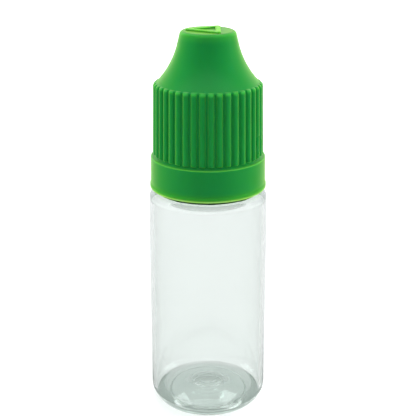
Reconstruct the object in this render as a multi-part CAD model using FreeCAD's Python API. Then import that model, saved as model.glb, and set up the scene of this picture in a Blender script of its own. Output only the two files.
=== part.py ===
import FreeCAD, Part
import math
import os

# An eye drop bottle of 10 ml: a blown clear bottle, a snap-in dropper tip, and a
# child-resistant closure of two caps with a tamper ring. All sizes are in mm.
# The origin is at the middle of the foot, and +Z is up through the nozzle.

# Bottle body
body_d = 21.0
body_wall = 0.8
shoulder_z = 41.1
shoulder_round = 1.05
shoulder_inner_round = 1.8
shoulder_taper = 0.16
shoulder_taper_h = 5.5
heel_round = 3.6
foot_w = 0.8
dome_h = 1.6
floor_z = 2.0
floor_crown = 1.2
floor_round = 0.8

# Bottle neck, set in from the body so that the closure is about as wide as the body
shoulder_w = 4.5
neck_wall = 1.4
neck_h = 14.9
neck_d = body_d - 2 * shoulder_w
neck_bore_d = neck_d - 2 * neck_wall
neck_round = 0.8
neck_bead_h = 1.0
neck_bead_proud = 1.2
neck_bead_up = 5.1
thread_proud = 0.8

# Dropper tip
plug_h = 6.0
plug_slack = 0.1
plug_seal_proud = 0.15
plug_seal_h = 0.8
plug_wall = 1.2
tip_flange_t = 0.8
tip_flange_inset = 0.2
nozzle_h = 8.7
nozzle_base_d = 6.8
nozzle_tip_d = 3.2
nozzle_wall = 0.9
nozzle_round = 0.5
nozzle_root_round = 0.6
orifice_d = 0.9
orifice_h = 2.4
orifice_mouth_d = 1.3
orifice_mouth_h = 0.4

# Inner cap
thread_slack = 0.2
bead_slack = 0.2
bead_headroom = 0.3
inner_foot_wall = 0.6
inner_foot_drop = 0.2
catch_up = 0.3
catch_h = 0.7
catch_slope_h = 0.6
seat_gap = 0.2
plate_t = 1.0
plate_round = 0.3
nozzle_slack = 0.3
nose_wall = 0.8
nose_roof_gap = 0.7
nose_roof_t = 0.9
nose_round = 0.5
pin_d = 0.7
pin_depth = 0.7

# Drive teeth between the two caps
tooth_count = 12
tooth_h = 0.8
tooth_crest = 0.6
tooth_ramp = 1.0
tooth_inset = 0.3
tooth_len = 1.4
tooth_slack = 0.15

# Tamper ring
ring_wall = 0.75
ring_slack = 0.25
ring_lift = 0.25
ring_flange_inset = 0.25
ring_flange_t = 0.6
fin_count = 10
fin_turn_share = 0.7
fin_t = 0.45
fin_h = 2.2
fin_slack = 0.3
bridge_count = 8
bridge_h = 0.4
bridge_t = 0.3
bridge_turn_deg = 5.0

# Outer cap
shell_slack = 0.2
bead_gap = 0.85
bead_h = 0.85
bead_reach = 0.4
lip_gap = 0.83
lip_h = 0.6
lip_step = 0.14
lip_step_h = 0.35
lip_round = 0.15
lip_wall = 0.55
entry_over_ring = 0.4
band_wall = 1.06
band_draft = 0.07
ledge_over_catch = 0.45
ledge_h = 0.55
catch_headroom = 0.1
rib_count = 40
rib_turn_deg = 3.1
rib_wall = 0.785
rib_draft = 0.23
rib_h = 0.42
rib_side_h = 0.17
rib_width_share = 0.68
rib_round = 0.7
rib_foot_round = 0.35
rib_foot_drop = 0.1
rib_end_ease = 0.05
drive_room = 2.3
flare_wall = 1.0
nose_top_d = 9.4
nose_draft_deg = 13.2
nose_straight_h = 2.1
top_gap = 1.2
top_t = 1.0
top_round = 0.73

# Raised triangle on the outer cap
mark_inset = 0.12
mark_ridge_w = 0.9
mark_h = 0.3

# How far a tool solid runs past what it cuts or joins
overrun = 0.2

# How much of a side the roundings at its ends may take
round_limit_share = 0.95

# Radii and heights that several pieces share, from the neck outwards and upwards
body_r = body_d / 2
neck_r = neck_d / 2
neck_bore_r = neck_bore_d / 2
neck_bead_r = neck_r + neck_bead_proud
neck_z = shoulder_z + neck_h
neck_bead_z = shoulder_z + neck_bead_up
flange_z = neck_z + tip_flange_t
nozzle_z = flange_z + nozzle_h
inner_bore_r = neck_r + thread_proud + thread_slack
inner_relief_r = neck_bead_r + bead_slack
inner_r = inner_relief_r + inner_foot_wall
inner_foot_z = neck_bead_z - inner_foot_drop
ring_in_r = neck_bead_r + ring_slack
ring_out_r = ring_in_r + ring_wall
ring_flange_z = shoulder_z + ring_lift + ring_flange_t
bead_r = ring_out_r + shell_slack
catch_r = bead_r + bead_reach
catch_z = inner_foot_z + catch_up
catch_top_z = catch_z + catch_h
plate_z = flange_z + seat_gap + plate_t
nose_inner_z = nozzle_z + nose_roof_gap
nose_z = nose_inner_z + nose_roof_t
tooth_out_r = inner_r - tooth_inset
tooth_in_r = tooth_out_r - tooth_len
tooth_half = (tooth_ramp + tooth_crest) / 2
core_r = inner_r + shell_slack
skirt_r = catch_r + shell_slack
band_foot_r = skirt_r + band_wall
band_top_r = band_foot_r - band_draft
lip_r = band_foot_r + lip_step
lip_z = shoulder_z + lip_gap
entry_r = lip_r - lip_wall
ledge_z = catch_top_z + catch_slope_h + ledge_over_catch
band_z = ledge_z - ledge_h
groove_top_r = core_r + rib_wall
groove_foot_r = groove_top_r + rib_draft
flare_z = plate_z + drive_room
top_z = nose_z + top_gap + top_t


def outline(corners, bows=None):
    """A closed wire in the XZ plane from corners of (radius, height, rounding).

    bows gives the middle of a side that is an arc, by the number of its first corner.
    """
    bows = bows or {}
    spots = [FreeCAD.Vector(r, 0, z) for r, z, _ in corners]
    count = len(corners)
    starts, ends = [], []
    for i, (_, _, rounding) in enumerate(corners):
        here = spots[i]
        back = spots[i - 1].sub(here)
        ahead = spots[(i + 1) % count].sub(here)
        reach = 0
        if rounding > 0:
            reach = rounding / math.tan(back.getAngle(ahead) / 2)
            for side, other in ((back, corners[i - 1]), (ahead, corners[(i + 1) % count])):
                share = round_limit_share / 2 if other[2] > 0 else round_limit_share
                reach = min(reach, side.Length * share)
        back.normalize()
        ahead.normalize()
        ends.append(here + back * reach)
        starts.append(here + ahead * reach)
    edges = []
    for i in range(count):
        if ends[i].distanceToPoint(starts[i]) > 0:
            chord_middle = (ends[i] + starts[i]) * 0.5
            to_corner = spots[i].sub(chord_middle)
            half_chord = ends[i].distanceToPoint(chord_middle)
            reach = ends[i].distanceToPoint(spots[i])
            sagitta = half_chord * (reach - half_chord) / to_corner.Length
            to_corner.normalize()
            edges.append(Part.Arc(ends[i], chord_middle + to_corner * sagitta, starts[i]).toShape())
        after = ends[(i + 1) % count]
        if i in bows:
            middle = FreeCAD.Vector(bows[i][0], 0, bows[i][1])
            edges.append(Part.Arc(starts[i], middle, after).toShape())
        else:
            edges.append(Part.LineSegment(starts[i], after).toShape())
    return Part.Wire(edges)


def turned(corners, bows=None, start_deg=0, turn_deg=360):
    """A solid turned about the bottle's axis from a closed outline."""
    face = Part.Face(outline(corners, bows))
    origin, up = FreeCAD.Vector(0, 0, 0), FreeCAD.Vector(0, 0, 1)
    face.rotate(origin, up, start_deg)
    return face.revolve(origin, up, turn_deg)


def dome_middle(rim_r, rim_z, crown):
    """The middle point of the arc from the axis to the rim of a shallow dome."""
    ball_r = (rim_r ** 2 + crown ** 2) / (2 * crown)
    angle = math.asin(rim_r / ball_r) / 2
    return ball_r * math.sin(angle), rim_z + crown - ball_r * (1 - math.cos(angle))


def cove_middle(low_r, low_z, high_r, high_z):
    """The middle point of a hollow arc that starts level at its foot and rises inwards."""
    in_r, up_z = low_r - high_r, high_z - low_z
    radius = (in_r ** 2 + up_z ** 2) / (2 * up_z)
    angle = math.atan2(in_r, radius - up_z) / 2
    return low_r - radius * math.sin(angle), low_z + radius * (1 - math.cos(angle))


def around(shape, count, start_deg=0):
    """Copies of a shape, evenly spaced round the axis."""
    copies = []
    for i in range(count):
        copy = shape.copy()
        angle = start_deg + 360 * i / count
        copy.rotate(FreeCAD.Vector(0, 0, 0), FreeCAD.Vector(0, 0, 1), angle)
        copies.append(copy)
    return copies


def bottle():
    """Blown body with a domed foot, a shoulder it narrows to, and a neck with its catch bead."""
    wall_r = body_r - body_wall
    foot_r = body_r - heel_round - foot_w
    floor_r = wall_r - 2 * floor_round
    roof_z = shoulder_z - body_wall
    return turned([
        (0, dome_h, 0),
        (foot_r, 0, 0),
        (body_r, 0, heel_round),
        (body_r, shoulder_z - shoulder_taper_h, 0),
        (body_r - shoulder_taper, shoulder_z, shoulder_round),
        (neck_r, shoulder_z, neck_round),
        (neck_r, neck_bead_z, 0),
        (neck_bead_r, neck_bead_z, 0),
        (neck_bead_r, neck_bead_z + neck_bead_h / 2, 0),
        (neck_r, neck_bead_z + neck_bead_h, 0),
        (neck_r, neck_z, 0),
        (neck_bore_r, neck_z, 0),
        (neck_bore_r, roof_z, neck_round),
        (wall_r, roof_z, shoulder_inner_round),
        (wall_r, floor_z, floor_round),
        (floor_r, floor_z, 0),
        (0, floor_z + floor_crown, 0),
    ], {
        0: dome_middle(foot_r, 0, dome_h),
        15: dome_middle(floor_r, floor_z, floor_crown),
    })


def dropper_tip():
    """Plug with two seal beads, a flange on the neck's rim, and a fine nozzle."""
    plug_z = neck_z - plug_h
    plug_r = neck_bore_r - plug_slack
    plug_bore_r = plug_r - plug_wall
    tip_flange_r = neck_r - tip_flange_inset
    corners = [
        (plug_bore_r, plug_z, 0),
        (plug_r - plug_seal_proud, plug_z, 0),
        (plug_r, plug_z + plug_seal_h / 2, 0),
    ]
    for seal_z in (plug_z + plug_seal_h, neck_z - 2 * plug_seal_h):
        corners += [
            (plug_r, seal_z, 0),
            (plug_r + plug_seal_proud, seal_z + plug_seal_h / 2, 0),
            (plug_r, seal_z + plug_seal_h, 0),
        ]
    corners += [
        (plug_r, neck_z, 0),
        (tip_flange_r, neck_z, 0),
        (tip_flange_r, flange_z, 0),
        (nozzle_base_d / 2, flange_z, nozzle_root_round),
        (nozzle_tip_d / 2, nozzle_z, nozzle_round),
        (orifice_mouth_d / 2, nozzle_z, 0),
        (orifice_d / 2, nozzle_z - orifice_mouth_h, 0),
        (orifice_d / 2, nozzle_z - orifice_h, 0),
        (nozzle_base_d / 2 - nozzle_wall, flange_z, 0),
        (plug_bore_r, neck_z - tip_flange_t, 0),
    ]
    return turned(corners)


def tamper_ring():
    """Ring that stays on the neck, with fins under the neck's bead and thin bridges."""
    foot_z = shoulder_z + ring_lift
    ring_top_z = inner_foot_z - bridge_h
    ring_flange_r = entry_r - ring_flange_inset
    ring = turned([
        (ring_in_r, foot_z, 0),
        (ring_flange_r, foot_z, 0),
        (ring_flange_r, ring_flange_z, 0),
        (ring_out_r, ring_flange_z, 0),
        (ring_out_r, ring_top_z, 0),
        (ring_in_r, ring_top_z, 0),
    ])
    fin_top_z = neck_bead_z - fin_slack
    fin_r = neck_r + fin_slack
    fin_root_r = ring_in_r + overrun
    fin_deg = 360 / fin_count * fin_turn_share
    fin = turned([
        (fin_root_r, fin_top_z - fin_h, 0),
        (fin_root_r, fin_top_z - fin_h + fin_t, 0),
        (fin_r + fin_t, fin_top_z, 0),
        (fin_r, fin_top_z, 0),
    ], start_deg=-fin_deg / 2, turn_deg=fin_deg)
    bridge_r = (inner_relief_r + inner_r) / 2
    bridge = turned([
        (bridge_r - bridge_t / 2, ring_top_z - overrun, 0),
        (bridge_r + bridge_t / 2, ring_top_z - overrun, 0),
        (bridge_r + bridge_t / 2, inner_foot_z, 0),
        (bridge_r - bridge_t / 2, inner_foot_z, 0),
    ], start_deg=-bridge_turn_deg / 2, turn_deg=bridge_turn_deg)
    return ring.multiFuse(around(fin, fin_count) + around(bridge, bridge_count))


def tooth(points, r_in, r_out):
    """A prism that points out along +X; points are (along the turn, height)."""
    spots = [FreeCAD.Vector(r_in, along, z) for along, z in points]
    face = Part.Face(Part.makePolygon(spots + spots[:1]))
    return face.extrude(FreeCAD.Vector(r_out - r_in, 0, 0))


def inner_cap():
    """Threaded cap with a sealing nose, a catch flange and drive teeth on its plate."""
    plate_under_z = plate_z - plate_t
    relief_z = neck_bead_z + neck_bead_h + bead_headroom
    nose_in_base_r = nozzle_base_d / 2 + nozzle_slack
    nose_in_top_r = nozzle_tip_d / 2 + nozzle_slack
    pin_z = nozzle_z - pin_depth
    body = turned([
        (inner_relief_r, inner_foot_z, 0),
        (inner_r, inner_foot_z, 0),
        (inner_r, catch_z, 0),
        (catch_r, catch_z, 0),
        (catch_r, catch_top_z, 0),
        (inner_r, catch_top_z + catch_slope_h, 0),
        (inner_r, plate_z, plate_round),
        (nose_in_base_r + nose_wall, plate_z, nose_round),
        (nose_in_top_r + nose_wall, nose_z, nose_round),
        (0, nose_z, 0),
        (0, pin_z, 0),
        (pin_d / 2, pin_z, 0),
        (pin_d / 2, nose_inner_z, 0),
        (nose_in_top_r, nose_inner_z, 0),
        (nose_in_base_r, plate_under_z, 0),
        (inner_bore_r, plate_under_z, 0),
        (inner_bore_r, relief_z, 0),
        (inner_relief_r, relief_z - bead_headroom, 0),
    ])
    drive = tooth([
        (-tooth_half, plate_z - overrun),
        (-tooth_half, plate_z),
        (-tooth_half + tooth_ramp, plate_z + tooth_h),
        (tooth_half, plate_z + tooth_h),
        (tooth_half, plate_z - overrun),
    ], tooth_in_r, tooth_out_r)
    return body.multiFuse(around(drive, tooth_count))


def flare(offset, start_r):
    """The nose's concave side, set in by offset, from the radius start_r up.

    It gives the arc's start, middle and end, and the radius where its straight top ends.
    """
    draft = math.radians(nose_draft_deg)
    out_r, out_z = math.cos(draft), math.sin(draft)
    tangent_r = nose_top_d / 2 + nose_straight_h * math.tan(draft)
    tangent_z = top_z - nose_straight_h
    gap_r, gap_z = groove_top_r - tangent_r, flare_z - tangent_z
    radius = (gap_r ** 2 + gap_z ** 2) / (2 * (gap_r * out_r + gap_z * out_z))
    centre_r, centre_z = tangent_r + out_r * radius, tangent_z + out_z * radius
    side = radius + offset

    def spot(angle):
        return centre_r + side * math.cos(angle), centre_z + side * math.sin(angle)

    start = math.tau - math.acos((start_r - centre_r) / side)
    finish = math.pi + draft
    return spot(start), spot((start + finish) / 2), spot(finish), nose_top_d / 2 - offset / out_r


def outer_body():
    """The outer cap's smooth form: lip, band, hollow ledge, groove floor and nose, all solid."""
    base, middle, tangent, edge_r = flare(0, groove_top_r)
    return turned([
        (0, lip_z, 0),
        (lip_r, lip_z, lip_round),
        (lip_r, lip_z + lip_h, 0),
        (band_foot_r, lip_z + lip_h + lip_step_h, 0),
        (band_top_r, band_z, 0),
        (groove_foot_r, ledge_z, 0),
        (*base, 0),
        (*tangent, 0),
        (edge_r, top_z, top_round),
        (0, top_z, 0),
    ], {4: cove_middle(band_top_r, band_z, groove_foot_r, ledge_z), 6: middle})


def outer_hollow():
    """The space inside the outer cap, with the bead that snaps under the inner cap's catch."""
    base, middle, tangent, edge_r = flare(flare_wall, core_r)
    roof_z = top_z - top_t
    roof_r = edge_r + top_t * math.tan(math.radians(nose_draft_deg))
    bead_z = catch_z - bead_gap
    entry_z = ring_flange_z + entry_over_ring
    step_z = catch_top_z + catch_headroom
    return turned([
        (0, lip_z - overrun, 0),
        (entry_r, lip_z - overrun, 0),
        (entry_r, entry_z, 0),
        (skirt_r, entry_z + entry_r - skirt_r, 0),
        (skirt_r, bead_z - bead_h, 0),
        (bead_r, bead_z - bead_h / 2, 0),
        (bead_r, bead_z, 0),
        (skirt_r, bead_z, 0),
        (skirt_r, step_z, 0),
        (core_r, step_z + catch_slope_h, 0),
        (*base, 0),
        (*tangent, 0),
        (roof_r, roof_z, 0),
        (0, roof_z, 0),
    ], {10: middle})


def outer_teeth():
    """Teeth under the outer cap's flare that stand between the inner cap's teeth."""
    back = tooth_half + tooth_slack
    drive = tooth([
        (back, plate_z),
        (back + tooth_crest, plate_z),
        (back + tooth_crest + tooth_ramp, plate_z + tooth_h),
        (back + tooth_crest + tooth_ramp, top_z),
        (back, top_z),
    ], tooth_in_r, groove_foot_r)
    base, middle, tangent, _ = flare(flare_wall / 2, core_r + overrun)
    room = turned([
        (0, plate_z, 0),
        (core_r + overrun, plate_z, 0),
        (*base, 0),
        (*tangent, 0),
        (0, tangent[1], 0),
    ], {2: middle})
    return around(drive.common(room), tooth_count)


def rib():
    """One grip rib with a round back and rounded ends, on the +X side."""
    foot_z, end_z = ledge_z - rib_foot_drop, flare_z + overrun
    slope = rib_draft / (end_z - foot_z)
    half_width = math.pi * groove_top_r / rib_count * rib_width_share
    root_r = core_r + rib_wall / 2
    spots = [
        FreeCAD.Vector(root_r, -half_width, foot_z),
        FreeCAD.Vector(groove_foot_r + rib_side_h, -half_width, foot_z),
        FreeCAD.Vector(groove_foot_r + rib_h, 0, foot_z),
        FreeCAD.Vector(groove_foot_r + rib_side_h, half_width, foot_z),
        FreeCAD.Vector(root_r, half_width, foot_z),
    ]
    section = Part.Wire([
        Part.LineSegment(spots[0], spots[1]).toShape(),
        Part.Arc(spots[1], spots[2], spots[3]).toShape(),
        Part.LineSegment(spots[3], spots[4]).toShape(),
        Part.LineSegment(spots[4], spots[0]).toShape(),
    ])
    height = end_z + overrun - foot_z
    bar = Part.Face(section).extrude(FreeCAD.Vector(-slope * height, 0, height))
    crest_r = groove_foot_r + rib_h + rib_end_ease
    envelope = turned([
        (core_r, foot_z, 0),
        (crest_r, foot_z, rib_foot_round),
        (crest_r - rib_draft, end_z, rib_round),
        (core_r, end_z, 0),
    ])
    return bar.common(envelope)


def mark():
    """The raised triangle that fingers can feel, as an outline ridge on the nose's top."""
    def prism(circle_r, low_z, high_z):
        spots = []
        for i in range(3):
            angle = math.pi + math.tau * i / 3
            spots.append(FreeCAD.Vector(circle_r * math.cos(angle), circle_r * math.sin(angle), low_z))
        face = Part.Face(Part.makePolygon(spots + spots[:1]))
        return face.extrude(FreeCAD.Vector(0, 0, high_z - low_z))

    outer_r = nose_top_d / 2 - top_round - mark_inset
    inner_r = outer_r - mark_ridge_w / math.sin(math.pi / 6)
    ridge = prism(outer_r, top_z - overrun, top_z + mark_h)
    return ridge.cut(prism(inner_r, top_z - 2 * overrun, top_z + mark_h + overrun))


def outer_cap():
    """Ribbed shell with a long nose, a catch bead, drive teeth and the raised triangle."""
    shell = outer_body().multiFuse(around(rib(), rib_count, rib_turn_deg) + [mark()])
    return shell.cut(outer_hollow()).multiFuse(outer_teeth())


def save(name, shape):
    """Write one piece, and print what it is."""
    solid = shape.removeSplitter()
    solid.exportStep(os.path.join("parts", name + ".step"))
    box = solid.optimalBoundingBox(True, False)
    print(name, "solids", len(solid.Solids), "valid", solid.isValid(),
          "volume", round(solid.Volume, 1), "z", round(box.ZMin, 2), round(box.ZMax, 2))


os.makedirs("parts", exist_ok=True)
for piece in (bottle, dropper_tip, tamper_ring, inner_cap, outer_cap):
    save(piece.__name__, piece())
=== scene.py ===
# %% [markdown]
# # An eye drop bottle in five mouldings
#
# The real thing is a clear blown bottle of 10 ml. A soft dropper tip is pressed into its
# neck. A tamper ring sits loose under the neck's bead, an inner cap screws down on the
# thread, and a green ribbed outer cap, which has to be pressed down before it turns the
# inner one, hides all three.
#
# The packed model gives every piece its place and its size. This script makes a finer
# skin for each of them, in metres, in the same frame.

import math

import bmesh
import bpy
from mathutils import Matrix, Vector


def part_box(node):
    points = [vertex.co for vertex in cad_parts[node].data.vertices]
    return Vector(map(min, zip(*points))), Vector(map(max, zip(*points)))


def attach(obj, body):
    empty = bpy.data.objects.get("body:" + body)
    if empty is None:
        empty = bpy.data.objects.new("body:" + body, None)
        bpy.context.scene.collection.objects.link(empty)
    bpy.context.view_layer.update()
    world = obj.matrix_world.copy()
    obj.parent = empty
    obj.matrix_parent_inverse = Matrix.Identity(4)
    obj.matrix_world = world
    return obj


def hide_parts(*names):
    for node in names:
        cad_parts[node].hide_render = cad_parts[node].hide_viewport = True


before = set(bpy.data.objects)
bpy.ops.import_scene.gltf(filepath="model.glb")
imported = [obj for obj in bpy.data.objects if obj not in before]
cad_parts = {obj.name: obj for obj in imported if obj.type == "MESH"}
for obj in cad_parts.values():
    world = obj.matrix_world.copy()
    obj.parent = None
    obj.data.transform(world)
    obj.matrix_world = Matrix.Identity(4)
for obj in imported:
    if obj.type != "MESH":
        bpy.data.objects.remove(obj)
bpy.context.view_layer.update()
MM = 0.001
for name in sorted(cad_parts):
    low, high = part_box(name)
    print(name, "from z", round(low.z / MM, 2), "to", round(high.z / MM, 2), "mm")

# %% [markdown]
# ## A line that rounds its own corners
#
# Nearly every piece here is turned, so it begins as a line of points in millimetres:
# radius and height. A moulded edge is never sharp, because the steel it was moulded in
# isn't. A Bevel modifier could round the edges of the finished mesh, but all by one width.
# So each corner of the line carries its own rounding, and becomes a short arc. One more
# point is set close beside each end of the arc. It keeps the smooth shading of the arc
# from running out over the flat beside it.

# %% Rounded outlines
ARC_STEPS = 5
BESIDE = 0.08
ARC_SHARE = 0.49  # the most of a side that the arc at one of its ends may take


def bend(start, corner, end, radius, steps):
    """Points on the arc that takes the place of a corner."""
    back, ahead = start - corner, end - corner
    half = back.angle(ahead) / 2
    reach = min(radius / math.tan(half), back.length * ARC_SHARE, ahead.length * ARC_SHARE)
    radius = reach * math.tan(half)
    backwards, onwards = back.normalized(), ahead.normalized()
    middle = corner + (backwards + onwards).normalized() * radius / math.sin(half)
    first = corner + backwards * reach - middle
    last = corner + onwards * reach - middle
    turn = first.angle(last)
    arc = []
    for k in range(steps + 1):
        of_first, of_last = math.sin((1 - k / steps) * turn), math.sin(k / steps * turn)
        arc.append(middle + (first * of_first + last * of_last) / math.sin(turn))
    room = 3 * BESIDE
    before = [arc[0] + backwards * BESIDE] if back.length - reach > room else []
    after = [arc[-1] + onwards * BESIDE] if ahead.length - reach > room else []
    return before + arc + after


def rounded(corners, closed=False, steps=ARC_STEPS):
    """A line of points from (radius, height) or (radius, height, rounding) corners."""
    line = []
    spots = [Vector(corner[:2]) for corner in corners]
    for i, corner in enumerate(corners):
        at_an_end = not closed and i in (0, len(corners) - 1)
        if len(corner) < 3 or at_an_end:
            line.append(spots[i])
        else:
            line += bend(spots[i - 1], spots[i], spots[(i + 1) % len(spots)], corner[2], steps)
    return line


def ladder(low, high, step):
    """Evenly spaced values from low to high, about one step apart."""
    count = max(1, round((high - low) / step))
    return [low + (high - low) * k / count for k in range(count + 1)]


print("an L of two 10 mm sides, with a 1 mm corner, has",
      len(rounded([(0, 0), (10, 0, 1), (10, 10)])), "points")

# %% [markdown]
# ## Turning the line
#
# A Screw modifier could spin the line, but then the poles on the axis would need mending.
# Writing the rings out by hand keeps one single point wherever the line meets the axis,
# and gives the number of facets exactly.

# %% Turned meshes
FACETS = {"bottle": 192, "dropper tip": 128, "tamper ring": 160, "inner cap": 144}


def new_piece(name, points, faces):
    """A mesh object from points in millimetres, smooth, with its faces turned outwards."""
    mesh = bpy.data.meshes.new(name)
    mesh.from_pydata([Vector(p) * MM for p in points], [], faces)
    work = bmesh.new()
    work.from_mesh(mesh)
    bmesh.ops.recalc_face_normals(work, faces=work.faces)
    work.to_mesh(mesh)
    work.free()
    mesh.shade_smooth()
    piece = bpy.data.objects.new(name, mesh)
    bpy.context.scene.collection.objects.link(piece)
    return piece


def patch(*corners):
    """One face. On the axis two of its corners are the same point, which counts once."""
    return list(dict.fromkeys(corners))


def turned(name, line, sides, closed=False):
    """The line turned about the upright axis; sides is the number of facets."""
    points, rings, faces = [], [], []
    for r, z in line:
        if r == 0:
            rings.append([len(points)] * sides)
            points.append((0, 0, z))
            continue
        rings.append(list(range(len(points), len(points) + sides)))
        for k in range(sides):
            angle = math.tau * k / sides
            points.append((r * math.cos(angle), r * math.sin(angle), z))
    pairs = list(zip(rings, rings[1:]))
    if closed:
        pairs.append((rings[-1], rings[0]))
    for a, b in pairs:
        for k in range(sides):
            n = (k + 1) % sides
            faces.append(patch(a[k], a[n], b[n], b[k]))
    return new_piece(name, points, faces)


print("facets round the axis:", FACETS)

# %% [markdown]
# ## Node trees, written down one node at a time
#
# The same few lines can write a Geometry Nodes tree and a material, because both are
# nodes and links. `Tree.add` makes a node, fills its sockets with values or links, and
# hands back its outputs. The other methods are the sums that come back again and again.

# %% A small tree writer
class Tree:
    """Writes nodes and links into a node tree."""

    def __init__(self, tree):
        self.tree = tree

    def link(self, value, socket):
        self.tree.links.new(value, socket)

    def add(self, kind, inputs=None, **settings):
        """A new node's outputs. Its inputs are given as values, or as sockets to link."""
        made = self.tree.nodes.new(kind)
        for key, value in settings.items():
            setattr(made, key, value)
        for key, value in (inputs or {}).items():
            if isinstance(value, bpy.types.NodeSocket):
                self.link(value, made.inputs[key])
            else:
                made.inputs[key].default_value = value
        return made.outputs

    def math(self, operation, *values):
        return self.add("ShaderNodeMath", dict(enumerate(values)), operation=operation)[0]

    def product(self, *shares):
        """Several shares multiplied."""
        whole = shares[0]
        for share in shares[1:]:
            whole = self.math("MULTIPLY", whole, share)
        return whole

    def eased(self, value, begin, end, at_begin=0.0, at_end=1.0):
        """at_begin as far as begin, and from there a smooth way to at_end at end."""
        return self.add("ShaderNodeMapRange", {
            "Value": value, "From Min": begin, "From Max": end, "To Min": at_begin, "To Max": at_end,
        }, interpolation_type="SMOOTHSTEP")[0]

    def mix(self, share, one, other):
        """One colour mixed towards another by a share."""
        inputs = {"Factor": share, "A": one, "B": other}
        return self.add("ShaderNodeMix", inputs, data_type="RGBA")[2]

    def from_axis(self, where):
        """How far a place is from the upright axis."""
        place = self.add("ShaderNodeSeparateXYZ", {0: where})
        squares = [self.math("POWER", place[side], 2.0) for side in ("X", "Y")]
        return self.math("SQRT", self.math("ADD", *squares))


print("the writer knows:", ", ".join(word for word in vars(Tree) if word[0] != "_"))

# %% [markdown]
# ## Rules, and pieces that follow them
#
# A rule is a Geometry Nodes tree with its sizes as named inputs. A piece follows it once,
# and the outcome is kept as a plain mesh. A live modifier would do for a picture, but a
# piece that is handed on to other programs has to be a mesh.

# %% Rules
def rule(name, sizes):
    """A Geometry Nodes tree with named inputs, its writer and its input sockets."""
    group = bpy.data.node_groups.new(name, "GeometryNodeTree")
    group.interface.new_socket("Geometry", in_out="INPUT", socket_type="NodeSocketGeometry")
    for label, kind in sizes.items():
        group.interface.new_socket(label, in_out="INPUT", socket_type="NodeSocket" + kind)
    group.interface.new_socket("Geometry", in_out="OUTPUT", socket_type="NodeSocketGeometry")
    write = Tree(group)
    return group, write, write.add("NodeGroupInput")


def follow(piece, group, **sizes):
    """Runs a rule on a piece, and keeps the outcome as the piece's plain mesh."""
    modifier = piece.modifiers.new(group.name, "NODES")
    modifier.node_group = group
    for item in group.interface.items_tree:
        label = item.name.replace(" ", "_")
        if item.in_out == "INPUT" and label in sizes:
            modifier[item.identifier] = sizes[label]
    ready = piece.evaluated_get(bpy.context.evaluated_depsgraph_get())
    mesh = bpy.data.meshes.new_from_object(ready)
    piece.modifiers.remove(modifier)
    piece.data = mesh
    mesh.name = piece.name
    return piece


print("rules so far:", len(bpy.data.node_groups))

# %% [markdown]
# ## A rule for what goes round the axis
#
# Ribs, drive teeth, the ring's fins and its bridges all repeat round the bottle's axis.
# One tree serves them all: it takes one copy, sets it out evenly, joins the seams where
# copies meet, and gives the finish.

# %% The ring rule
ring_rule, write, given = rule("copies_round", {
    "Count": "Int", "First angle": "Float", "Seam": "Float", "Finish": "Material",
})
index = write.add("GeometryNodeInputIndex")[0]
step = write.math("DIVIDE", math.tau, given["Count"])
angle = write.math("MULTIPLY_ADD", index, step, given["First angle"])
spots = write.add("GeometryNodePoints", {"Count": given["Count"]})[0]
turn = write.add("ShaderNodeCombineXYZ", {"Z": angle})[0]
copies = write.add("GeometryNodeInstanceOnPoints", {
    "Points": spots, "Instance": given["Geometry"], "Rotation": turn,
})[0]
real = write.add("GeometryNodeRealizeInstances", {"Geometry": copies})[0]
joined = write.add("GeometryNodeMergeByDistance", {"Geometry": real, "Distance": given["Seam"]})[0]
smooth = write.add("GeometryNodeSetShadeSmooth", {"Geometry": joined, "Shade Smooth": True})[0]
done = write.add("GeometryNodeSetMaterial", {"Geometry": smooth, "Material": given["Finish"]})[0]
write.add("NodeGroupOutput", {"Geometry": done})
print("the ring rule has", len(ring_rule.nodes), "nodes")

# %% [markdown]
# ## A rule for the screw thread
#
# A thread is a ridge whose height climbs by one lead for each turn. On a wall that is
# already round, this is a sum: the height of a point, less its share of the lead, wrapped
# into one lead, says how far the point is from the middle of the ridge. The rule moves
# points of the wall outwards (or inwards, for a nut) by that much, and eases the ridge in
# and out at its ends. So the thread is part of the wall, as it is when it is blown.

# %% The thread rule: how far from the ridge
LEAD = 3.0
ON_WALL = 0.02  # how near the wall's radius a point has to be, to be moved
thread_rule, write, given = rule("screw_thread", {
    "Wall radius": "Float", "Lead": "Float", "Height": "Float", "Crest": "Float",
    "Flank": "Float", "Low": "Float", "High": "Float", "Ease": "Float", "Phase": "Float",
    "Finish": "Material",
})
place = write.add("ShaderNodeSeparateXYZ", {0: write.add("GeometryNodeInputPosition")[0]})
turns = write.math("DIVIDE", write.math("ARCTAN2", place["Y"], place["X"]), math.tau)
turns = write.math("ADD", turns, given["Phase"])
climbed = write.math("SUBTRACT", place["Z"], write.math("MULTIPLY", turns, given["Lead"]))
half = write.math("MULTIPLY", given["Lead"], 0.5)
off = write.math("WRAP", climbed, half, write.math("MULTIPLY", half, -1.0))
core = write.math("SUBTRACT", place["Z"], off)
print("so far the thread rule has", len(thread_rule.nodes), "nodes")

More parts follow.
